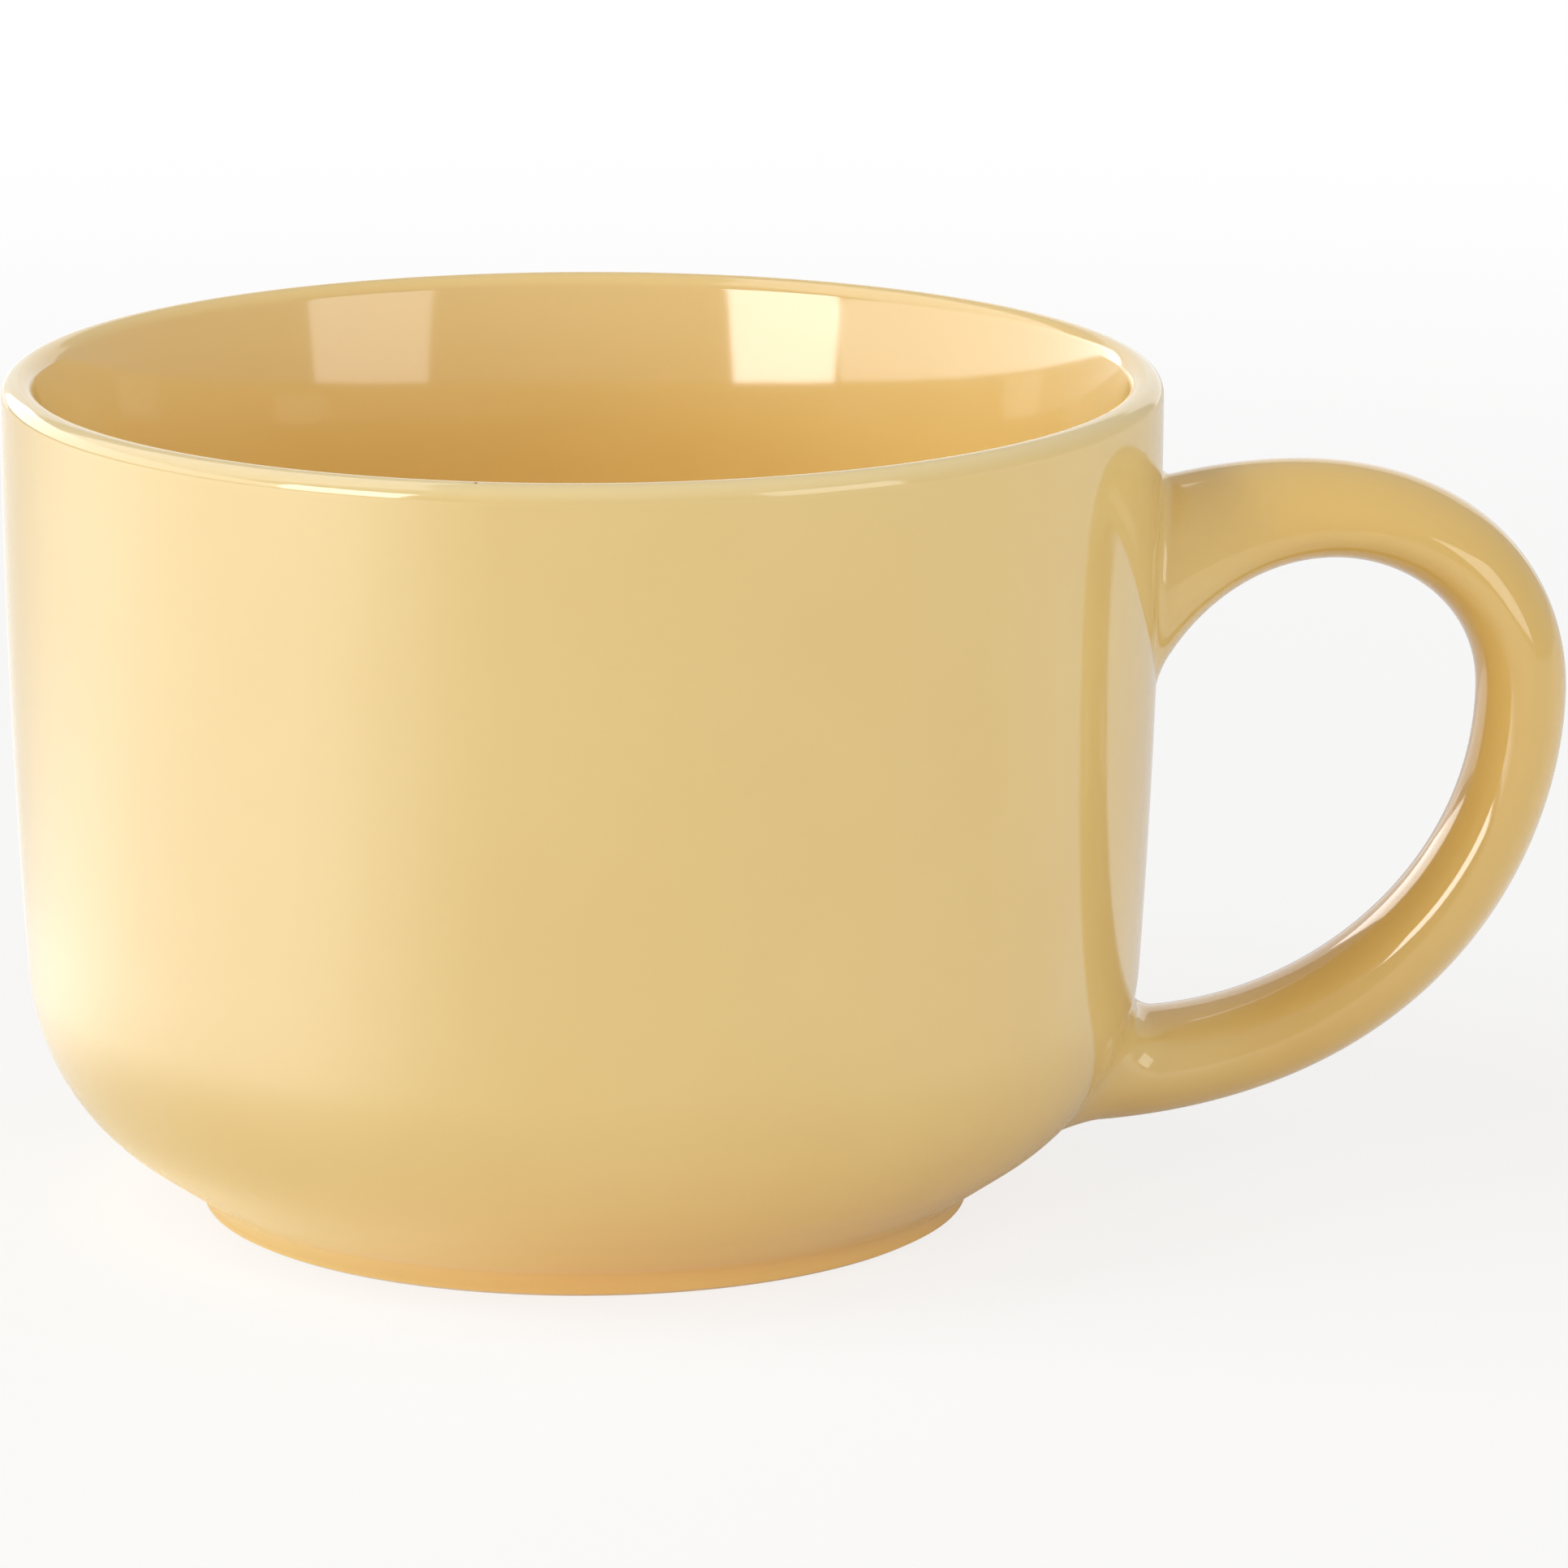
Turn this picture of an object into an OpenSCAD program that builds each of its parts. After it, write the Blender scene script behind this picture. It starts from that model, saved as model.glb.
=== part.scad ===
// A stoneware soup mug: a jiggered bowl on a low foot ring, a cast handle luted on with slip,
// and a coat of glaze over everything but the ring of bare clay that it stood on in the kiln.
// Millimetres. The bowl's axis is Z, the table is Z = 0, and the handle points along +X.
// Outside sizes are those of the glazed mug; the clay lies one coat of glaze further in.

/* [Bowl] */
// Outside diameter at the rim
rim_d = 118; // [104:1:136]
// Height from the table to the top of the lip
mug_h = 86.3; // [74:0.1:106]
// Thickness of the wall below the lip, glaze on both sides included
wall_t = 6.3; // [5:0.1:8]
// Radius of the round lip
lip_r = 1.8; // [1.4:0.1:2.2]
// Radius of the slow flare from the inside of the wall up to the lip
flare_r = 70; // [30:1:90]
// Outside radius of the curve from the wall in to the base
corner_r = 23.5; // [18:0.5:27]
// Lean of the wall from upright where it leaves that curve, in degrees
wall_lean = 3.7; // [2.5:0.1:6]
// Rise of the bowl's underside beside the foot, in degrees from level
bowl_rise = 34.5; // [28:0.5:40]

/* [Foot] */
// Outside diameter of the foot ring where it meets the bowl
foot_d = 79; // [70:0.2:88]
// Height of the foot ring
foot_h = 2; // [1.4:0.1:3]
// How far the foot ring's outer side draws in on its way down to the table
foot_draw = 0.2; // [0:0.1:1.5]
// Width of the foot ring at the table
foot_w = 4.6; // [3:0.1:8]
// Rounding of the foot ring's two lower edges
foot_edge_r = 0.4; // [0.2:0.1:0.7]
// Depth of the hollow inside the foot ring, up to the clay
recess_h = 2.4; // [1.6:0.1:3.4]

/* [Glaze] */
// Thickness of the coat of glaze
glaze_t = 0.4; // [0.3:0.05:0.6]
// Height above the table at which the glaze on the foot ring stops
glaze_stop_h = 0.4; // [0.4:0.1:1]

/* [Handle] */
// How far the handle stands out beyond the rim
handle_reach = 41.6; // [34:0.2:48]
// Height of the handle's outermost point above the table
grip_z = 53.3; // [46:0.1:60]
// Thickness of the handle at its outermost point
grip_t = 9.2; // [7:0.1:12]
// Width of the handle across, at its outermost point
grip_w = 15; // [11:0.5:19]
// Depth below the top of the lip at which the handle's top edge meets the wall
upper_root_drop = 11.6; // [9:0.1:16]
// Height of the upper root on the wall
upper_root_h = 25.5; // [19:0.5:29]
// Width of the upper root across
upper_root_w = 19; // [15:0.5:23]
// Height above the table of the lower root's bottom edge
lower_root_z = 7.6; // [6:0.1:10]
// Height of the lower root on the wall
lower_root_h = 11.7; // [9.5:0.1:14]
// Width of the lower root across
lower_root_w = 17; // [14:0.5:21]

/* [Slip joints] */
// Thickness of the slip between the handle's end and the wall
slip_t = 0.5; // [0.45:0.05:0.8]
// How far the squeezed-out bead of slip climbs the handle
bead_h = 2.2; // [1.6:0.1:3]
// How far the bead spreads on the wall
bead_w = 1.2; // [0.8:0.1:2]
// How far the bead climbs the two flanks of the lower root, where it was smoothed wide by hand
flank_bead_h = 4.6; // [3:0.1:6]
// How far the bead spreads on the wall beside those flanks
flank_bead_w = 3.6; // [2:0.1:5]

/* [Hidden] */
$fn = 128;

// Colours as the photograph shows them
glaze_colour = "#EBD193";
inside_colour = "#DDB569";
clay_colour = "#E9DFCB";
slip_colour = "#E2D3B4";

// Fineness: degrees between points of an arc, sides of the handle's section, rings along the handle
arc_step = 4;
arc_min_steps = 6;
handle_sides = 18;
root_rings = 10;
grip_rings = 26;
root_run_share = 0.14;

// Depth to which a cut or a root runs past the face that it has to clear
root_sink = 2;
// Depth to which a bead's free edge is tucked under the handle's skin
bead_tuck = 0.05;

// How far each control point of the handle's four edge curves is pulled, along the run and up or down it
outer_upper_shares = [0.7, 0.386, 0.663];
outer_lower_shares = [0.362, 0.784, 0];
inner_upper_shares = [0.216, 1.033, 0.759];
inner_lower_shares = [0.593, 0.507, -0.026];

// Bowl: the wall is one slow arc, upright at the lip, that runs on into the corner arc.
// Its radius is the one that lets the corner arc also touch the sloping underside.
rim_r = rim_d / 2;
foot_r = foot_d / 2;
lip_z = mug_h - lip_r;
wall_arc_r = (corner_r - (foot_r - rim_r + corner_r * cos(wall_lean)) * sin(bowl_rise)
              + (foot_h - lip_z - corner_r * sin(wall_lean)) * cos(bowl_rise))
             / ((1 - cos(wall_lean)) * sin(bowl_rise) - sin(wall_lean) * cos(bowl_rise));
wall_c = [rim_r - wall_arc_r, lip_z];
corner_c = wall_c + (wall_arc_r - corner_r) * [cos(wall_lean), -sin(wall_lean)];
corner_end = 90 - bowl_rise;
wall_foot_z = corner_c.y - corner_r * sin(wall_lean);
corner_foot_z = corner_c.y - corner_r * sin(corner_end);

// Lip: a round edge, with a flare that touches both it and the inside of the wall
lip_c = [rim_r - lip_r, lip_z];
inner_arc_r = wall_arc_r - wall_t;
lip_span = wall_arc_r - lip_r;
flare_reach = inner_arc_r + flare_r;
flare_x = (pow(lip_span, 2) + pow(flare_reach, 2) - pow(flare_r - lip_r, 2)) / (2 * lip_span);
flare_drop = sqrt(pow(flare_reach, 2) - pow(flare_x, 2));
flare_c = wall_c + [flare_x, -flare_drop];
flare_foot = atan2(flare_drop, flare_x);
flare_top = atan2(lip_c.y - flare_c.y, lip_c.x - flare_c.x);

// Foot
foot_floor_r = foot_r - foot_draw;
recess_r = foot_floor_r - foot_w;

function arc(c, r, a0, a1) =
    let (n = max(arc_min_steps, ceil(abs(a1 - a0) / arc_step)))
    [for (i = [0:n]) let (a = a0 + (a1 - a0) * i / n) c + r * [cos(a), sin(a)]];

function reversed(path) = [for (i = [len(path) - 1:-1:0]) path[i]];

// Outside of the bowl from the foot's corner up to the start of the lip, a distance inset below the glaze
function foot_corner(inset) =
    [foot_r - inset, foot_h + inset * (cos(bowl_rise) - (1 - sin(bowl_rise)) * tan(bowl_rise))];
function foot_side(z, inset) = [foot_r - foot_draw * (1 - z / foot_h) - inset, z];
function outer_wall(inset) = concat(
    [foot_corner(inset)],
    arc(corner_c, corner_r - inset, -corner_end, -wall_lean),
    arc(wall_c, wall_arc_r - inset, -wall_lean, 0));

// Inside of the bowl from the end of the lip down to the axis
function inner_wall(inset) = concat(
    arc(flare_c, flare_r - inset, flare_top, 180 - flare_foot),
    arc(wall_c, inner_arc_r + inset, -flare_foot, -wall_lean),
    arc(corner_c, corner_r - wall_t + inset, -wall_lean, -90),
    [[0, corner_c.y - corner_r + wall_t - inset]]);

function lip(inset, a0, a1) = arc(lip_c, lip_r - inset, a0, a1);

// Radius of the bowl's outside at a height, and how far a point lies outside the bowl
function wall_r(z, inset) =
    z > wall_foot_z ? wall_c.x + sqrt(pow(wall_arc_r - inset, 2) - pow(z - lip_z, 2)) :
    z > corner_foot_z ? corner_c.x + sqrt(pow(corner_r - inset, 2) - pow(z - corner_c.y, 2)) :
    foot_r + (z - foot_h) / tan(bowl_rise) - inset / sin(bowl_rise);
function stand_off(p, inset) =
    let (q = [norm([p.x, p.y]), p.z], a = atan2(corner_c.y - q.y, q.x - corner_c.x))
    a < wall_lean ? norm(q - wall_c) - wall_arc_r + inset :
    a < corner_end ? norm(q - corner_c) - corner_r + inset :
    (q.x - foot_r) * sin(bowl_rise) - (q.y - foot_h) * cos(bowl_rise) + inset;

// Handle: two curves for its outer edge and two for its inner edge, drawn in the XZ plane
handle_x = rim_r + handle_reach;
upper_root_z = mug_h - upper_root_drop;
inner_root_z = upper_root_z - upper_root_h;
lower_inner_z = lower_root_z + lower_root_h;
function root_point(z) = [wall_r(z, 0) - root_sink, z];
outer_a = root_point(upper_root_z);
outer_b = [handle_x, grip_z];
outer_c = root_point(lower_root_z);
inner_a = root_point(inner_root_z);
inner_b = [handle_x - grip_t, grip_z];
inner_c = root_point(lower_inner_z);
arch_h = upper_root_z - grip_z;

outer_upper = [outer_a,
               outer_a + [outer_upper_shares[0] * (outer_b.x - outer_a.x), outer_upper_shares[1] * arch_h],
               outer_b + [0, outer_upper_shares[2] * arch_h],
               outer_b];
outer_lower = [outer_b,
               outer_b - [0, outer_lower_shares[0] * (outer_b.y - outer_c.y)],
               outer_c + [outer_lower_shares[1] * (outer_b.x - outer_c.x),
                          outer_lower_shares[2] * (outer_b.y - outer_c.y)],
               outer_c];
inner_upper = [inner_a,
               inner_a + [inner_upper_shares[0] * (inner_b.x - inner_a.x),
                          inner_upper_shares[1] * upper_root_h],
               inner_b + [0, inner_upper_shares[2] * arch_h],
               inner_b];
inner_lower = [inner_b,
               inner_b - [0, inner_lower_shares[0] * (inner_b.y - inner_c.y)],
               inner_c + [inner_lower_shares[1] * (inner_b.x - inner_c.x),
                          inner_lower_shares[2] * (inner_b.y - inner_c.y)],
               inner_c];

function cubic(p, t) =
    let (s = 1 - t) s * s * s * p[0] + 3 * s * s * t * p[1] + 3 * s * t * t * p[2] + t * t * t * p[3];
function outer_edge(u) = u < 1 ? cubic(outer_upper, u) : cubic(outer_lower, u - 1);
function inner_edge(u) = u < 1 ? cubic(inner_upper, u) : cubic(inner_lower, u - 1);
function half_width(u) =
    let (root_w = u < 1 ? upper_root_w : lower_root_w)
    (grip_w + (root_w - grip_w) * pow(abs(1 - u), 3)) / 2;

// Places along the handle, 0 at the upper root and 2 at the lower root, closest together at the roots
root_places = [for (k = [0:root_rings - 1]) root_run_share * k / root_rings];
grip_places = [for (k = [0:grip_rings]) root_run_share + (2 - 2 * root_run_share) * k / grip_rings];
upper_places = concat(root_places, [root_run_share]);
lower_places = [for (u = reversed(upper_places)) 2 - u];
handle_places = concat(root_places, grip_places, [for (u = reversed(root_places)) 2 - u]);
skin_places = [for (k = [1:len(handle_places) - 2]) handle_places[k]];

// Height of the slip bead on the handle's skin, from how far that skin stands off the wall.
// The flank is 1 halfway along the lower root's two flanks, and 0 at its edges and on the upper root.
function bead(gap, flank, under) =
    let (h = bead_h + (flank_bead_h - bead_h) * flank,
         w = bead_w + (flank_bead_w - bead_w) * flank)
    gap < h ? w * pow(1 - max(gap, -slip_t) / h, 2) : under;

// One oval ring of the handle: a distance inset below the glaze, with its bead or without
function ring(u, inset, beaded, under) =
    let (o = outer_edge(u), i = inner_edge(u), mid = (o + i) / 2, half = norm(o - i) / 2,
         along = (o - i) / (2 * half), across = half_width(u))
    [for (k = [0:handle_sides - 1])
        let (a = 360 * k / handle_sides,
             n = [cos(a) / half, sin(a) / across] / norm([cos(a) / half, sin(a) / across]),
             p = [half * cos(a), across * sin(a)] - inset * n,
             skin = [mid.x + along.x * p.x, p.y, mid.y + along.y * p.x],
             flank = u > 1 ? pow(sin(a), 2) : 0,
             q = p + (beaded ? bead(stand_off(skin, inset), flank, under) : 0) * n)
        [mid.x + along.x * q.x, q.y, mid.y + along.y * q.x]];

module sweep(places, inset, beaded, under = 0) {
    rings = len(places);
    side = handle_sides;
    polyhedron(
        points = [for (u = places) each ring(u, inset, beaded, under)],
        faces = concat(
            [[for (k = [side - 1:-1:0]) k]],
            [[for (k = [0:side - 1]) (rings - 1) * side + k]],
            [for (j = [0:rings - 2], k = [0:side - 1])
                let (m = (k + 1) % side) each [
                    [j * side + k, j * side + m, (j + 1) * side + k],
                    [j * side + m, (j + 1) * side + m, (j + 1) * side + k]]]));
}

// Everything inside the bowl's outer surface, for cutting the handle and its joints to the wall
module bowl_envelope(inset) {
    rotate_extrude()
        polygon(concat(
            [[0, 0], foot_side(0, inset)],
            outer_wall(inset),
            lip(inset, 0, 90),
            [[0, mug_h - inset]]));
}

module bowl() {
    edge_c = [foot_floor_r - glaze_t - foot_edge_r, foot_edge_r];
    hollow_c = [recess_r + foot_edge_r, foot_edge_r];
    color(clay_colour)
        rotate_extrude()
            polygon(concat(
                [[0, recess_h], [recess_r, recess_h]],
                arc(hollow_c, foot_edge_r, 180, 270),
                arc(edge_c, foot_edge_r, 270, 360),
                outer_wall(glaze_t),
                lip(glaze_t, 0, flare_top),
                inner_wall(glaze_t)));
}

module handle() {
    color(clay_colour)
        difference() {
            sweep(handle_places, glaze_t, false);
            bowl_envelope(glaze_t - slip_t);
        }
}

// Slip between one end of the handle and the wall, with the bead that it squeezes out
module slip_joint(places) {
    color(slip_colour)
        difference() {
            sweep(places, glaze_t, true, -bead_tuck);
            handle();
            bowl_envelope(glaze_t);
        }
}

module upper_slip_joint() slip_joint(upper_places);

module lower_slip_joint() slip_joint(lower_places);

module outside_glaze() {
    color(glaze_colour)
        difference() {
            rotate_extrude()
                polygon(concat(
                    [foot_side(glaze_stop_h, 0)],
                    outer_wall(0),
                    lip(0, 0, 90),
                    reversed(lip(glaze_t, 0, 90)),
                    reversed(outer_wall(glaze_t)),
                    [foot_side(glaze_stop_h, glaze_t)]));
            sweep(handle_places, glaze_t, true);
        }
}

module inside_glaze() {
    color(inside_colour)
        rotate_extrude()
            polygon(concat(
                lip(0, 90, flare_top),
                inner_wall(0),
                reversed(inner_wall(glaze_t)),
                reversed(lip(glaze_t, 90, flare_top))));
}

module base_glaze() {
    color(glaze_colour)
        translate([0, 0, recess_h - glaze_t])
            cylinder(h = glaze_t, r = recess_r);
}

module handle_glaze() {
    color(glaze_colour)
        difference() {
            sweep(skin_places, 0, true);
            sweep(handle_places, glaze_t, true);
            bowl_envelope(0);
        }
}

bowl();
handle();
upper_slip_joint();
lower_slip_joint();
outside_glaze();
inside_glaze();
base_glaze();
handle_glaze();
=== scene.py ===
"""A glazed stoneware soup mug in a plain studio: smooth turned coats of glaze over the packed clay."""

import math

import bpy
from mathutils import Matrix, Vector


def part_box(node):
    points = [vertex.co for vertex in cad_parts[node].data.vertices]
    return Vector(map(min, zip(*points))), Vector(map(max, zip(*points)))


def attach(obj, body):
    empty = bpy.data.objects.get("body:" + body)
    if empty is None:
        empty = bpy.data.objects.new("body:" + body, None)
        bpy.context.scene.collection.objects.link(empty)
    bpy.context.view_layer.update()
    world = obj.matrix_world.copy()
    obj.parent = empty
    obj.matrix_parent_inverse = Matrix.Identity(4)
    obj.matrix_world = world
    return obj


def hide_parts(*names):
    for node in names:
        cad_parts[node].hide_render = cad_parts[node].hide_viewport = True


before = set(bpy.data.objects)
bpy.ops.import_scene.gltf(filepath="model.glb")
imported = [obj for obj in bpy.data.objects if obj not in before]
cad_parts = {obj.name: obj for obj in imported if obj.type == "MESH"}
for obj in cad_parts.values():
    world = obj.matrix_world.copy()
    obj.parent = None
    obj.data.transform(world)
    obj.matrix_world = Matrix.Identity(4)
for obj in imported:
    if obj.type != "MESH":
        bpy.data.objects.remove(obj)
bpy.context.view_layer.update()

MM = 0.001

# Sizes of the glazed mug, in metres. The frame gives the outside sizes.
coat_low, coat_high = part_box("outside_glaze")
RIM_R = (coat_high.x - coat_low.x) / 2
MUG_H = coat_high.z
GLAZE_STOP_H = coat_low.z
HANDLE_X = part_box("handle_glaze")[1].x
RECESS_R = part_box("base_glaze")[1].x
RECESS_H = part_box("base_glaze")[1].z

GLAZE_T = 0.4 * MM
WALL_T = 6.3 * MM
LIP_R = 1.8 * MM
FLARE_R = 70 * MM
CORNER_R = 23.5 * MM
WALL_LEAN = math.radians(3.7)
BOWL_RISE = math.radians(34.5)
FOOT_R = 39.5 * MM
FOOT_H = 2 * MM
FOOT_DRAW = 0.2 * MM
FOOT_EDGE_R = 0.4 * MM
FOOT_COVE_R = 2.2 * MM

GRIP_Z = 53.3 * MM
GRIP_T = 9.2 * MM
GRIP_W = 15 * MM
UPPER_ROOT_Z = 74.7 * MM
UPPER_ROOT_H = 25.5 * MM
UPPER_ROOT_W = 19 * MM
LOWER_ROOT_Z = 7.6 * MM
LOWER_ROOT_H = 11.7 * MM
LOWER_ROOT_W = 17 * MM
ROOT_SINK = 2 * MM

# Pulls on the control points of the handle's edge curves, as in the part's source
OUTER_UPPER_SHARES = (0.7, 0.386, 0.663)
OUTER_LOWER_SHARES = (0.362, 0.784, 0)
INNER_UPPER_SHARES = (0.216, 1.033, 0.759)
INNER_LOWER_SHARES = (0.593, 0.507, -0.026)

# How the handle's coat runs out onto the bowl. Its apron dips under the bowl's skin at a slant.
UPPER_FILLET_R = 1.2 * MM
LOWER_FILLET_R = 2.1 * MM
LOWER_FLANK_R = 5.3 * MM
APRON = 0.8 * MM
APRON_RISE = math.radians(10)
APRON_SINK = APRON * math.tan(APRON_RISE)

# Fineness of the meshes
TURN_SEGMENTS = 240
ARC_STEP = math.radians(3)
ARC_MIN_STEPS = 10
HANDLE_COLUMNS = 96
FILLET_RINGS = 12
GRIP_RINGS = 120
HALVINGS = 40
WELD = 0.002 * MM
SHARP_ANGLE = math.radians(40)

# The photograph's camera: where it stands round the mug, what it looks at, and its last small turns
CAMERA_DISTANCE = 979.4 * MM
CAMERA_ELEVATION = math.radians(13.36)
AIM_HEIGHT = 41.3 * MM
CAMERA_YAW = math.radians(1.20)
CAMERA_PITCH = math.radians(0.11)
CAMERA_ROLL = math.radians(-0.21)
FOCAL_PIXELS = 11764
PHOTO_PIXELS = 1932
SENSOR = 36

LAMP_DISTANCE = 1.2


# Small helpers

def linear(hex_colour):
    """An sRGB hex colour as linear RGBA."""
    channels = [int(hex_colour[i:i + 2], 16) / 255 for i in (1, 3, 5)]
    return [c / 12.92 if c <= 0.04045 else ((c + 0.055) / 1.055) ** 2.4 for c in channels] + [1.0]


def add(tree, kind, inputs=None, **settings):
    """Adds a node with its settings; each input is a value, or a socket to link to."""
    node = tree.nodes.new(kind)
    for key, value in settings.items():
        setattr(node, key, value)
    for key, value in (inputs or {}).items():
        if isinstance(value, bpy.types.NodeSocket):
            tree.links.new(value, node.inputs[key])
        else:
            node.inputs[key].default_value = value
    return node


def maths(tree, operation, *inputs):
    """The result of a maths node."""
    return add(tree, "ShaderNodeMath", dict(enumerate(inputs)), operation=operation).outputs[0]


def ramp(tree, value, start, end, low=0.0, high=1.0, shape="SMOOTHSTEP"):
    """A value carried from one range to another, and held at the ends."""
    return add(tree, "ShaderNodeMapRange",
               {"Value": value, "From Min": start, "From Max": end, "To Min": low, "To Max": high},
               interpolation_type=shape).outputs[0]


def blend(tree, share, first, second):
    """A mix of two colours."""
    return add(tree, "ShaderNodeMix", {0: share, 6: first, 7: second}, data_type="RGBA").outputs[2]


def new_object(name, data):
    piece = bpy.data.objects.new(name, data)
    bpy.context.scene.collection.objects.link(piece)
    return piece


def new_material(name):
    material = bpy.data.materials.new(name)
    material.use_nodes = True
    return material


def arc(centre, radius, start, end):
    """Points of an arc in the (radius, height) plane, from one angle to another."""
    steps = max(ARC_MIN_STEPS, math.ceil(abs(end - start) / ARC_STEP))
    angles = [start + (end - start) * i / steps for i in range(steps + 1)]
    return [(centre[0] + radius * math.cos(a), centre[1] + radius * math.sin(a)) for a in angles]


def halve(near, far, is_near):
    """The place between two where a test that holds at the near one stops holding."""
    for _ in range(HALVINGS):
        middle = (near + far) / 2
        if is_near(middle):
            near = middle
        else:
            far = middle
    return near


# The bowl's arcs, as in the part's source: lip, slow upright wall, corner, slope to the foot
LIP_Z = MUG_H - LIP_R
WALL_ARC_R = (
    (CORNER_R
     - (FOOT_R - RIM_R + CORNER_R * math.cos(WALL_LEAN)) * math.sin(BOWL_RISE)
     + (FOOT_H - LIP_Z - CORNER_R * math.sin(WALL_LEAN)) * math.cos(BOWL_RISE))
    / ((1 - math.cos(WALL_LEAN)) * math.sin(BOWL_RISE) - math.sin(WALL_LEAN) * math.cos(BOWL_RISE)))
WALL_C = (RIM_R - WALL_ARC_R, LIP_Z)
CORNER_C = (WALL_C[0] + (WALL_ARC_R - CORNER_R) * math.cos(WALL_LEAN),
            WALL_C[1] - (WALL_ARC_R - CORNER_R) * math.sin(WALL_LEAN))
CORNER_END = math.pi / 2 - BOWL_RISE
COVE_C = (FOOT_R + FOOT_COVE_R,
          FOOT_H - FOOT_COVE_R * (1 - math.sin(BOWL_RISE)) / math.cos(BOWL_RISE))
LIP_C = (RIM_R - LIP_R, LIP_Z)
INNER_ARC_R = WALL_ARC_R - WALL_T
LIP_SPAN = WALL_ARC_R - LIP_R
FLARE_REACH = INNER_ARC_R + FLARE_R
FLARE_X = (LIP_SPAN ** 2 + FLARE_REACH ** 2 - (FLARE_R - LIP_R) ** 2) / (2 * LIP_SPAN)
FLARE_DROP = math.sqrt(FLARE_REACH ** 2 - FLARE_X ** 2)
FLARE_C = (WALL_C[0] + FLARE_X, WALL_C[1] - FLARE_DROP)
FLARE_FOOT = math.atan2(FLARE_DROP, FLARE_X)
FLARE_TOP = math.atan2(LIP_C[1] - FLARE_C[1], LIP_C[0] - FLARE_C[0])
FLOOR_Z = CORNER_C[1] - CORNER_R + WALL_T


def foot_side(z, inset):
    return (FOOT_R - FOOT_DRAW * (1 - z / FOOT_H) - inset, z)


def outer_wall(inset):
    """The bowl's outside from the cove above the foot to the lip, a distance below the glazed surface."""
    return (arc(COVE_C, FOOT_COVE_R + inset, math.pi, math.pi / 2 + BOWL_RISE)
            + arc(CORNER_C, CORNER_R - inset, -CORNER_END, -WALL_LEAN)
            + arc(WALL_C, WALL_ARC_R - inset, -WALL_LEAN, 0)[1:])


def lip(inset, start, end):
    return arc(LIP_C, LIP_R - inset, start, end)[1:]


def inner_wall(inset):
    """The bowl's inside from the lip down to the middle of the floor."""
    return (arc(FLARE_C, FLARE_R - inset, FLARE_TOP, math.pi - FLARE_FOOT)[1:]
            + arc(WALL_C, INNER_ARC_R + inset, -FLARE_FOOT, -WALL_LEAN)[1:]
            + arc(CORNER_C, CORNER_R - WALL_T + inset, -WALL_LEAN, -math.pi / 2)[1:]
            + [(0, FLOOR_Z - inset)])


def stand_off(point):
    """How far a point lies outside the glazed bowl, and the bowl's outward direction there."""
    r, z = math.hypot(point.x, point.y), point.z
    angle = math.atan2(CORNER_C[1] - z, r - CORNER_C[0])
    if angle < WALL_LEAN:
        away = Vector((r - WALL_C[0], z - WALL_C[1]))
        gap = away.length - WALL_ARC_R
    elif angle < CORNER_END:
        away = Vector((r - CORNER_C[0], z - CORNER_C[1]))
        gap = away.length - CORNER_R
    else:
        away = Vector((math.sin(BOWL_RISE), -math.cos(BOWL_RISE)))
        gap = away.dot(Vector((r - FOOT_R, z - FOOT_H)))
    away.normalize()
    return gap, Vector((away.x * point.x / r, away.x * point.y / r, away.y))


# Turned pieces: one tree turns any profile about the mug's axis

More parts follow.
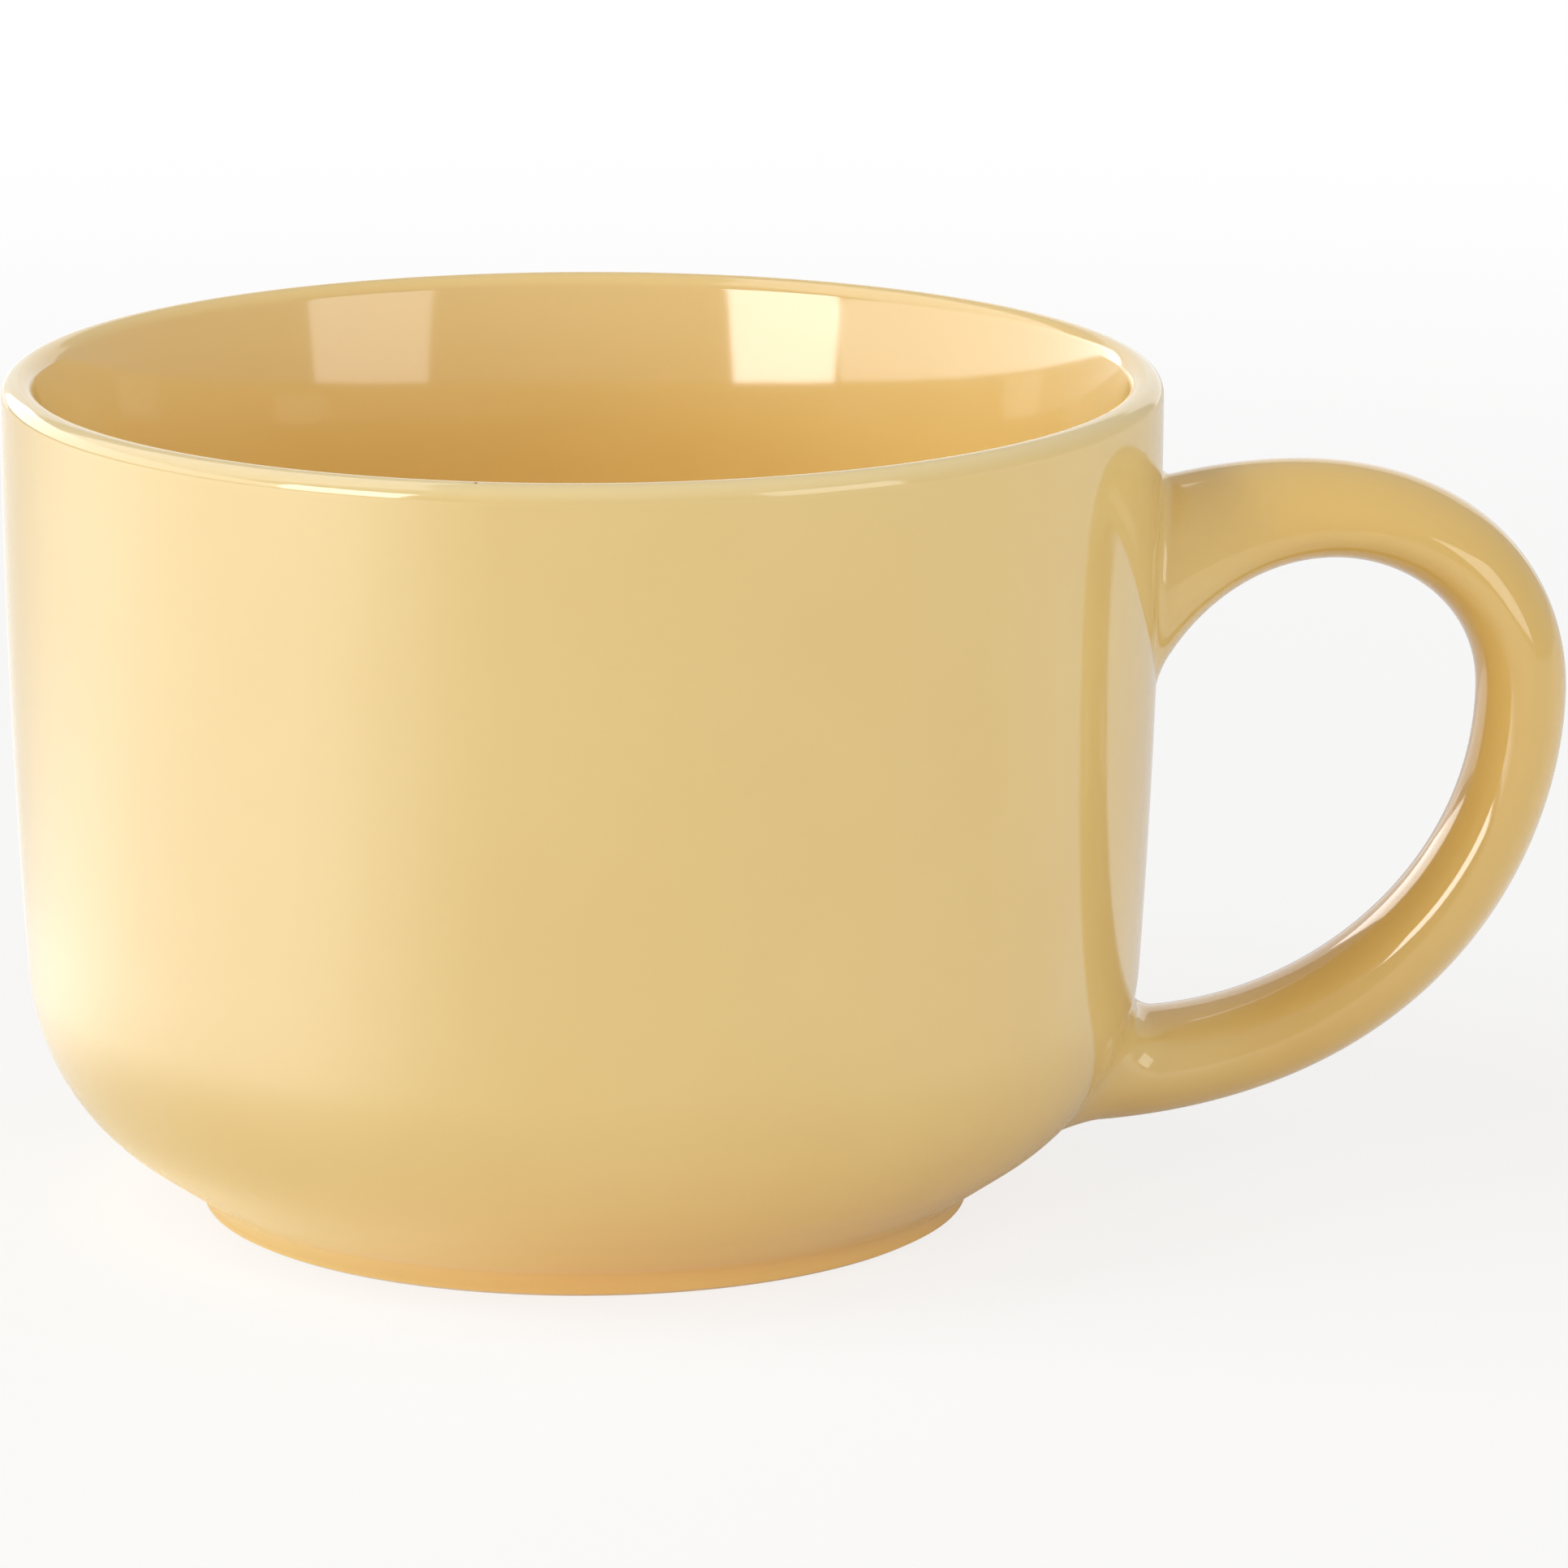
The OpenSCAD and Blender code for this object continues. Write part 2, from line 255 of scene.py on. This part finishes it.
def turning_tree():
    tree = bpy.data.node_groups.new("turned_piece", "GeometryNodeTree")
    for name, kind in (("Profile", "NodeSocketGeometry"), ("Segments", "NodeSocketInt"),
                       ("Weld", "NodeSocketFloat"), ("Finish", "NodeSocketMaterial")):
        tree.interface.new_socket(name, in_out="INPUT", socket_type=kind)
    tree.interface.new_socket("Piece", in_out="OUTPUT", socket_type="NodeSocketGeometry")
    given = add(tree, "NodeGroupInput").outputs
    profile_size = add(tree, "GeometryNodeAttributeDomainSize", {"Geometry": given["Profile"]})
    rows = profile_size.outputs["Point Count"]
    columns = maths(tree, "ADD", given["Segments"], 1.0)
    sheet = add(tree, "GeometryNodeMeshGrid", {"Vertices X": columns, "Vertices Y": rows})
    index = add(tree, "GeometryNodeInputIndex").outputs[0]
    row = maths(tree, "MODULO", index, rows)
    column = maths(tree, "FLOOR", maths(tree, "DIVIDE", index, rows))
    share = maths(tree, "DIVIDE", column, given["Segments"])
    angle = maths(tree, "MULTIPLY", share, 2 * math.pi)
    position = add(tree, "GeometryNodeInputPosition").outputs[0]
    place = add(tree, "GeometryNodeSampleIndex",
                {"Geometry": given["Profile"], "Value": position, "Index": row},
                data_type="FLOAT_VECTOR", domain="POINT")
    turned = add(tree, "ShaderNodeVectorRotate",
                 {"Vector": place.outputs[0], "Angle": angle}, rotation_type="Z_AXIS")
    shaped = add(tree, "GeometryNodeSetPosition",
                 {"Geometry": sheet.outputs["Mesh"], "Position": turned.outputs[0]})
    welded = add(tree, "GeometryNodeMergeByDistance",
                 {"Geometry": shaped.outputs[0], "Distance": given["Weld"]})
    # Faces that shrank to nothing on the axis leave bare edges behind
    faces_on = add(tree, "GeometryNodeInputMeshEdgeNeighbors").outputs["Face Count"]
    bare = maths(tree, "LESS_THAN", faces_on, 0.5)
    clean = add(tree, "GeometryNodeDeleteGeometry",
                {"Geometry": welded.outputs[0], "Selection": bare}, domain="EDGE", mode="EDGE_FACE")
    smooth = add(tree, "GeometryNodeSetShadeSmooth", {"Geometry": clean.outputs[0]})
    real = add(tree, "GeometryNodeRealizeInstances", {"Geometry": smooth.outputs[0]})
    dressed = add(tree, "GeometryNodeSetMaterial",
                  {"Geometry": real.outputs[0], "Material": given["Finish"]})
    add(tree, "NodeGroupOutput", {"Piece": dressed.outputs[0]})
    return tree


def turned_piece(name, profile, finish, tree):
    """A closed piece turned from a profile of (radius, height) points, given as a plain mesh."""
    line = bpy.data.meshes.new(name + "_profile")
    line.from_pydata([(r, 0, z) for r, z in profile], [(i, i + 1) for i in range(len(profile) - 1)], [])
    piece = new_object(name, line)
    turning = piece.modifiers.new("turning", "NODES")
    turning.node_group = tree
    values = {"Segments": TURN_SEGMENTS, "Weld": WELD, "Finish": finish}
    for socket in tree.interface.items_tree:
        if socket.name in values:
            turning[socket.identifier] = values[socket.name]
    seen = piece.evaluated_get(bpy.context.evaluated_depsgraph_get())
    mesh = bpy.data.meshes.new_from_object(seen)
    piece.modifiers.clear()
    piece.data = mesh
    mesh.name = name
    mesh.set_sharp_from_angle(angle=SHARP_ANGLE)
    return piece


# Handle

def cubic(points, t):
    s = 1 - t
    return s ** 3 * points[0] + 3 * s * s * t * points[1] + 3 * s * t * t * points[2] + t ** 3 * points[3]


def wall_point(z):
    """A point of the bowl's outside in the handle's plane, moved in to where the handle's edge starts."""
    skin = halve(FOOT_R, RIM_R + LIP_R, lambda x: stand_off(Vector((x, 0, z)))[0] < 0)
    return Vector((skin - ROOT_SINK, z))


def handle_edges():
    """The outer and the inner edge, each as an upper and a lower cubic in the (x, z) plane."""
    outer = [wall_point(UPPER_ROOT_Z), Vector((HANDLE_X, GRIP_Z)), wall_point(LOWER_ROOT_Z)]
    inner = [wall_point(UPPER_ROOT_Z - UPPER_ROOT_H), Vector((HANDLE_X - GRIP_T, GRIP_Z)),
             wall_point(LOWER_ROOT_Z + LOWER_ROOT_H)]
    arch = UPPER_ROOT_Z - GRIP_Z
    edges = []
    for (root, grip, foot), upper, lower, lift in (
            (outer, OUTER_UPPER_SHARES, OUTER_LOWER_SHARES, arch),
            (inner, INNER_UPPER_SHARES, INNER_LOWER_SHARES, UPPER_ROOT_H)):
        drop = grip.y - foot.y
        edges.append((
            (root, root + Vector((upper[0] * (grip.x - root.x), upper[1] * lift)),
             grip + Vector((0, upper[2] * arch)), grip),
            (grip, grip - Vector((0, lower[0] * drop)),
             foot + Vector((lower[1] * (grip.x - foot.x), lower[2] * drop)), foot)))
    return edges


def handle_point(edges, u, angle, inset):
    """A point of the plain handle, u from 0 at the upper root to 2 at the lower one, and its outward
    direction."""
    half = int(u >= 1)
    outer, inner = (cubic(edge[half], u - half) for edge in edges)
    middle, deep = (outer + inner) / 2, (outer - inner).length / 2
    along = (outer - inner) / (2 * deep)
    root_w = LOWER_ROOT_W if half else UPPER_ROOT_W
    wide = GRIP_W / 2 + (root_w - GRIP_W) / 2 * abs(1 - u) ** 3
    out = Vector((math.cos(angle) / deep, math.sin(angle) / wide)).normalized()
    local = Vector((deep * math.cos(angle), wide * math.sin(angle))) - inset * out
    point = Vector((middle.x + along.x * local.x, local.y, middle.y + along.y * local.x))
    return point, Vector((along.x * out.x, out.y, along.y * out.x))


def place_at(edges, angle, inset, gap, root, reach):
    """How far along the handle, from a root towards the middle, its skin stands a distance off the bowl."""
    return halve(root, reach, lambda u: stand_off(handle_point(edges, u, angle, inset)[0])[0] < gap)


def fillet_rings(edges, angle, root, reach, radius):
    """One column's points from under the bowl's skin, up through it and along the fillet, and how far
    along the handle the fillet ends."""
    steps = [(-APRON_SINK, radius * (1 - math.sin(APRON_RISE)) + APRON)]
    for k in range(FILLET_RINGS):
        bend = APRON_RISE + (math.pi / 2 - APRON_RISE) * k / FILLET_RINGS
        steps.append((radius * (math.cos(APRON_RISE) - math.cos(bend)), radius * (1 - math.sin(bend))))
    points = []
    for gap, spread in steps:
        u = place_at(edges, angle, 0, max(gap, 0), root, reach)
        point, out = handle_point(edges, u, angle, 0)
        away = stand_off(point)[1]
        point += spread * (out - out.dot(away) * away).normalized()
        now, away = stand_off(point)
        points.append(point + (gap - now) * away)
    return points, place_at(edges, angle, 0, radius * math.cos(APRON_RISE), root, reach)


def handle_coat(name, finish):
    """The coat of glaze on the handle: a smooth skin that runs out onto the bowl, closed by its inner
    side."""
    upper_root, upper_reach, lower_root, lower_reach = 0, 0.5, 2, 1.5
    edges = handle_edges()
    columns = []
    for k in range(HANDLE_COLUMNS):
        angle = 2 * math.pi * k / HANDLE_COLUMNS
        # The lower fillet is wide on the handle's two flanks, and narrow above and below it
        lower_r = LOWER_FLANK_R + (LOWER_FILLET_R - LOWER_FLANK_R) * math.cos(angle) ** 4
        upper, start = fillet_rings(edges, angle, upper_root, upper_reach, UPPER_FILLET_R)
        lower, end = fillet_rings(edges, angle, lower_root, lower_reach, lower_r)
        grip = [handle_point(edges, start + (end - start) * i / GRIP_RINGS, angle, 0)[0]
                for i in range(GRIP_RINGS + 1)]
        first = place_at(edges, angle, GLAZE_T, -APRON_SINK, upper_root, upper_reach)
        last = place_at(edges, angle, GLAZE_T, -APRON_SINK, lower_root, lower_reach)
        core = [handle_point(edges, last + (first - last) * i / GRIP_RINGS, angle, GLAZE_T)[0]
                for i in range(GRIP_RINGS + 1)]
        columns.append(upper + grip + lower[::-1] + core)
    rows = len(columns[0])
    points = [p for column in columns for p in column]
    faces = []
    for k in range(HANDLE_COLUMNS):
        this, after = k * rows, (k + 1) % HANDLE_COLUMNS * rows
        for i in range(rows):
            j = (i + 1) % rows
            faces.append((this + i, this + j, after + j, after + i))
    mesh = bpy.data.meshes.new(name)
    mesh.from_pydata(points, [], faces)
    mesh.materials.append(finish)
    mesh.shade_smooth()
    return new_object(name, mesh)


# Materials

def glaze(name, thin, thick, thin_top, thinned):
    """Glossy butter-yellow stoneware glaze: its colour drifts a little with its thickness, it breaks
    paler where it ran thin at the top, it is a shade deeper on the handle, the foot has painted warm shade
    in a deeper amber, the corner above the foot has a milky band that is partly pooled glaze and partly a
    painted reflection, and a few specks of iron show through it."""
    butter, honey, grip, foot_painted_warm_shade, cove_pool_and_painted_reflection, pale, rust = (
        linear(c) for c in (thin, thick, "#E2BC6C", "#ECC57C", "#E9C89E", "#EFDDAE", "#8A5A2B"))
    drift_size, speck_spacing, speck_r = 26 * MM, 17 * MM, 0.22 * MM
    ripple_size, ripple_h = 7 * MM, 0.012 * MM
    grip_fade, cove_band_z, cove_band_h, cove_pool_and_reflection_share = 16 * MM, FOOT_H + 1.2 * MM, 1 * MM, 0.5
    material = new_material(name)
    tree = material.node_tree
    shader = tree.nodes["Principled BSDF"]
    place = add(tree, "ShaderNodeTexCoord").outputs["Object"]
    drift = add(tree, "ShaderNodeTexNoise", {"Vector": place, "Scale": 1 / drift_size, "Detail": 2.0})
    body = blend(tree, drift.outputs["Fac"], butter, honey)
    spot = add(tree, "ShaderNodeSeparateXYZ", {0: place}).outputs
    # Each tone is mixed in from one place to another along an axis, and at most by a share
    for tone, axis, start, end, share in (
            (grip, "X", RIM_R, RIM_R + grip_fade, 1.0),
            # A pale band in the cove above the foot: partly pooled glaze, partly a painted reflection
            (cove_pool_and_painted_reflection, "Z", cove_band_z + cove_band_h, cove_band_z, cove_pool_and_reflection_share),
            # Painted warm shade: the foot is tinted a deeper amber, as if by light bounced between the foot
            # and the floor
            (foot_painted_warm_shade, "Z", cove_band_z, cove_band_z - cove_band_h, 1.0),
            (pale, "Z", MUG_H - thin_top, MUG_H, thinned)):
        body = blend(tree, ramp(tree, spot[axis], start, end, high=share), body, tone)
    cells = add(tree, "ShaderNodeTexVoronoi", {"Vector": place, "Scale": 1 / speck_spacing})
    speck = ramp(tree, cells.outputs["Distance"], speck_r / speck_spacing, 0.5 * speck_r / speck_spacing,
                 shape="LINEAR")
    tree.links.new(blend(tree, speck, body, rust), shader.inputs["Base Color"])
    ripple = add(tree, "ShaderNodeTexNoise", {"Vector": place, "Scale": 1 / ripple_size, "Detail": 1.0})
    bump = add(tree, "ShaderNodeBump",
               {"Height": ripple.outputs["Fac"], "Strength": 1.0, "Distance": ripple_h})
    tree.links.new(bump.outputs[0], shader.inputs["Normal"])
    shader.inputs["Roughness"].default_value = 0.08
    shader.inputs["IOR"].default_value = 1.6
    return material


def fired_clay(name, colour, dark):
    """Bare fired stoneware: a dry buff body with fine grit, matt because no glaze fills its grain."""
    grit_size, grit_h = 0.9 * MM, 0.08 * MM
    material = new_material(name)
    tree = material.node_tree
    shader = tree.nodes["Principled BSDF"]
    place = add(tree, "ShaderNodeTexCoord").outputs["Object"]
    grit = add(tree, "ShaderNodeTexNoise", {"Vector": place, "Scale": 1 / grit_size, "Detail": 4.0})
    body = blend(tree, grit.outputs["Fac"], linear(colour), linear(dark))
    tree.links.new(body, shader.inputs["Base Color"])
    bump = add(tree, "ShaderNodeBump",
               {"Height": grit.outputs["Fac"], "Strength": 0.6, "Distance": grit_h})
    tree.links.new(bump.outputs[0], shader.inputs["Normal"])
    shader.inputs["Roughness"].default_value = 0.85
    return material


# Stage

def floor():
    """A plain white floor that keeps a light shadow of the mug and throws light up under it. In the glaze
    it shows bright beyond that shadow, brightest on the key's side and dim behind the mug."""
    radius, sides = 3.0, 96
    # To the eye: the share of shaded paper near the mug, and where the plain white starts and is full
    paper_share, shadow_r, white_r = 0.22, 0.2, 0.7
    # Light thrown up under the mug, from the right to the left
    under_r, clear_r = 0.046, 0.095
    bounce_right, bounce_left, bounce_turn = 0.42, 1.3, math.radians(70)
    warm_from = math.radians(50)
    # What the glaze mirrors: nothing at the foot, then a level that follows the turn round the mug
    near_r, far_r, bright, glow = 0.05, 0.14, 1.1, 2.4
    glow_from, glow_full = math.radians(12), math.radians(56)
    behind_right, behind_left = 0.75, 1.15
    behind_from, behind_full = math.radians(92), math.radians(145)

    mesh = bpy.data.meshes.new("floor")
    angles = [2 * math.pi * k / sides for k in range(sides)]
    mesh.from_pydata([(radius * math.cos(a), radius * math.sin(a), 0) for a in angles], [], [range(sides)])
    material = new_material("white_paper")
    tree = material.node_tree
    tree.nodes.remove(tree.nodes["Principled BSDF"])
    place = add(tree, "ShaderNodeTexCoord").outputs["Object"]
    rays = add(tree, "ShaderNodeLightPath").outputs
    away = add(tree, "ShaderNodeVectorMath", {0: place}, operation="LENGTH").outputs["Value"]
    spot = add(tree, "ShaderNodeSeparateXYZ", {0: place}).outputs
    # The turn round the mug: 0 at the camera's side, positive to the left
    turn = maths(tree, "ARCTAN2", maths(tree, "MULTIPLY", spot["X"], -1.0),
                 maths(tree, "MULTIPLY", spot["Y"], -1.0))

    direct = maths(tree, "MAXIMUM", rays["Is Camera Ray"], rays["Is Transmission Ray"])
    share = maths(tree, "MULTIPLY", direct, ramp(tree, away, shadow_r, white_r, low=1 - paper_share))
    for ray, start, end in (("Is Glossy Ray", near_r, far_r), ("Is Diffuse Ray", clear_r, under_r)):
        share = maths(tree, "MULTIPLY_ADD", rays[ray], ramp(tree, away, start, end), share)

    level = ramp(tree, turn, glow_from, glow_full, bright, bright + glow)
    for side, behind in ((1, behind_left), (-1, behind_right)):
        level = ramp(tree, turn, side * behind_from, side * behind_full, level, behind)
    bounce = ramp(tree, turn, -bounce_turn, bounce_turn, bounce_right, bounce_left, "LINEAR")
    for ray, seen in (("Is Diffuse Ray", bounce), ("Is Camera Ray", 1.0)):
        level = ramp(tree, rays[ray], 0.0, 1.0, level, seen, "LINEAR")

    # Away from the key, what the floor throws up under the mug was first tinted by the mug
    warm = ramp(tree, turn, warm_from, 0.0, shape="LINEAR")
    warmed = maths(tree, "MULTIPLY", warm, rays["Is Diffuse Ray"])
    tint = blend(tree, warmed, linear("#FFFFFF"), linear("#FFE2C6"))
    paper = add(tree, "ShaderNodeBsdfDiffuse", {"Color": linear("#F7F6F4")})
    white = add(tree, "ShaderNodeEmission", {"Color": tint, "Strength": level})
    mix = add(tree, "ShaderNodeMixShader", {0: share, 1: paper.outputs[0], 2: white.outputs[0]})
    tree.links.new(mix.outputs[0], tree.nodes["Material Output"].inputs["Surface"])
    mesh.materials.append(material)
    ground = new_object("floor", mesh)


def hang(name, light, aim, azimuth, elevation):
    """Hangs a lamp that faces a point. Azimuths run from the camera's side, positive to the right."""
    towards = Vector((math.sin(azimuth) * math.cos(elevation), -math.cos(azimuth) * math.cos(elevation),
                      math.sin(elevation)))
    lamp = new_object(name, light)
    lamp.location = aim + LAMP_DISTANCE * towards
    lamp.rotation_euler = towards.to_track_quat("Z", "Y").to_euler()
    lamp.visible_camera = False
    return lamp


def panel(name, left, right, bottom, top, radiance, lights=True, mirrors=True):
    """A soft panel between two azimuths and two elevations, in degrees, that lights the mug, shows in the
    glaze, or both."""
    azimuth, elevation = math.radians((left + right) / 2), math.radians((bottom + top) / 2)
    light = bpy.data.lights.new(name, "AREA")
    light.shape = "RECTANGLE"
    light.size = 2 * LAMP_DISTANCE * math.tan(math.radians((right - left) / 2)) * math.cos(elevation)
    light.size_y = 2 * LAMP_DISTANCE * math.tan(math.radians((top - bottom) / 2))
    # A panel's power is four times its area times its radiance
    light.energy = 4 * light.size * light.size_y * radiance
    lamp = hang(name, light, Vector((0, 0, MUG_H / 2)), azimuth, elevation)
    lamp.visible_diffuse = lights
    lamp.visible_glossy = mirrors


def snoot(name, azimuth, elevation, aim, beam_r, power):
    """A narrow soft beam on one spot of the mug, which doesn't show in the glaze."""
    light = bpy.data.lights.new(name, "SPOT")
    light.spot_size = 2 * math.atan(beam_r / LAMP_DISTANCE)
    light.spot_blend = 1.0
    light.shadow_soft_size = 0.03
    light.energy = power
    lamp = hang(name, light, aim, math.radians(azimuth), math.radians(elevation))
    lamp.visible_glossy = False


def surroundings(walls, ceiling, mirrored):
    """A white studio: plain white to the eye, a soft even light on the mug from its walls, little from
    its ceiling, and as bright as mirrored where the ceiling shows in the glaze."""
    wall_top, ceiling_edge = 0.3, 0.9
    world = bpy.data.worlds.new("studio")
    world.use_nodes = True
    tree = world.node_tree
    back = tree.nodes["Background"]
    back.inputs["Color"].default_value = linear("#FFFFFF")
    towards = add(tree, "ShaderNodeTexCoord").outputs["Generated"]
    height = add(tree, "ShaderNodeSeparateXYZ", {0: towards}).outputs["Z"]
    rays = add(tree, "ShaderNodeLightPath").outputs
    top = ramp(tree, rays["Is Glossy Ray"], 0.0, 1.0, ceiling, mirrored, "LINEAR")
    room = ramp(tree, height, wall_top, ceiling_edge, walls, top)
    level = ramp(tree, rays["Is Camera Ray"], 0.0, 1.0, room, 1.0, "LINEAR")
    tree.links.new(level, back.inputs["Strength"])
    bpy.context.scene.world = world


def camera():
    """The photograph's view, with no shift: on the handle's left-right plane, turned a little to frame
    the handle."""
    lens = bpy.data.cameras.new("photo_camera")
    lens.sensor_width = SENSOR
    lens.lens = SENSOR * FOCAL_PIXELS / PHOTO_PIXELS
    lens.clip_start, lens.clip_end = 0.01, 20
    aim = Vector((0, 0, AIM_HEIGHT))
    ahead = Vector((0, math.cos(CAMERA_ELEVATION), -math.sin(CAMERA_ELEVATION)))
    place = aim - CAMERA_DISTANCE * ahead
    right = Vector((1, 0, 0))
    up = right.cross(ahead)
    ahead, right = (math.cos(CAMERA_YAW) * ahead + math.sin(CAMERA_YAW) * right,
                    math.cos(CAMERA_YAW) * right - math.sin(CAMERA_YAW) * ahead)
    ahead, up = (math.cos(CAMERA_PITCH) * ahead + math.sin(CAMERA_PITCH) * up,
                 math.cos(CAMERA_PITCH) * up - math.sin(CAMERA_PITCH) * ahead)
    right, up = (math.cos(CAMERA_ROLL) * right + math.sin(CAMERA_ROLL) * up,
                 math.cos(CAMERA_ROLL) * up - math.sin(CAMERA_ROLL) * right)
    eye = new_object("photo_camera", lens)
    turn = Matrix((right, up, -ahead)).transposed().to_4x4()
    eye.matrix_world = Matrix.Translation(place) @ turn
    bpy.context.scene.camera = eye


# The scene

bpy.context.scene.view_settings.view_transform = "Standard"
camera()
floor()
surroundings(0.56, 0.12, 0.7)
panel("key", -60, -34, 4, 30, 6.6, lights=False)
panel("left_wall", -160, -60, 4, 30, 2.2, lights=False)
panel("left_ceiling", -150, -60, 30, 75, 1.3, lights=False)
panel("right_wall", 35, 64, 4, 30, 2, lights=False)
panel("backdrop", 150, 210, -2, 25, 0.48, lights=False)
panel("high_left", -100, -40, 30, 62, 2.6, mirrors=False)
panel("front", -25, 25, 5, 50, 0.84, mirrors=False)
panel("right", 40, 130, 5, 60, 0.52, mirrors=False)
snoot("into_bowl", -58, 42, Vector((45 * MM, 28 * MM, 58 * MM)), 42 * MM, 12)

outside_finish = glaze("glaze_outside", "#E9CC86", "#E4C37A", 2.2 * MM, 0.5)
inside_finish = glaze("glaze_inside", "#EDCA7B", "#E8C16E", 22 * MM, 0.22)
clay_finish = fired_clay("bare_stoneware", "#E3D6BE", "#CDBB9C")
slip_finish = fired_clay("fired_slip", "#DCCBA8", "#C9B48C")

turning = turning_tree()
recess_side = [(RECESS_R, RECESS_H)] + arc(
    (RECESS_R + FOOT_EDGE_R, FOOT_EDGE_R), FOOT_EDGE_R, math.pi, 1.5 * math.pi)
foot_edge = arc(
    (foot_side(0, GLAZE_T)[0] - FOOT_EDGE_R, FOOT_EDGE_R), FOOT_EDGE_R, 1.5 * math.pi, 2 * math.pi)
bowl = turned_piece(
    "bowl_clay",
    [(0, RECESS_H)] + recess_side + foot_edge + outer_wall(GLAZE_T) + lip(GLAZE_T, 0, FLARE_TOP)
    + inner_wall(GLAZE_T), clay_finish, turning)
outside = turned_piece(
    "outside_coat",
    [foot_side(GLAZE_STOP_H, 0)] + outer_wall(0) + lip(0, 0, math.pi / 2)
    + [(LIP_C[0], MUG_H - GLAZE_T)] + lip(GLAZE_T, math.pi / 2, 0) + outer_wall(GLAZE_T)[::-1][1:]
    + [foot_side(GLAZE_STOP_H, GLAZE_T), foot_side(GLAZE_STOP_H, 0)], outside_finish, turning)
inside = turned_piece(
    "inside_coat",
    [(LIP_C[0], MUG_H)] + lip(0, math.pi / 2, FLARE_TOP) + inner_wall(0)
    + inner_wall(GLAZE_T)[::-1] + lip(GLAZE_T, FLARE_TOP, math.pi / 2) + [(LIP_C[0], MUG_H)],
    inside_finish, turning)
base = turned_piece(
    "base_coat",
    [(0, RECESS_H - GLAZE_T), (RECESS_R, RECESS_H - GLAZE_T), (RECESS_R, RECESS_H), (0, RECESS_H)],
    outside_finish, turning)
handle = handle_coat("handle_coat", outside_finish)

for piece, node, slot in ((bowl, "bowl", "clay"), (outside, "outside_glaze", "glaze"),
                          (inside, "inside_glaze", "glaze"), (base, "base_glaze", "glaze"),
                          (handle, "handle_glaze", "glaze")):
    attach(piece, "root")
    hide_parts(node)
for node, finish in (("handle", clay_finish), ("upper_slip_joint", slip_finish),
                     ("lower_slip_joint", slip_finish)):
    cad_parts[node].data.materials.clear()
    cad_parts[node].data.materials.append(finish)
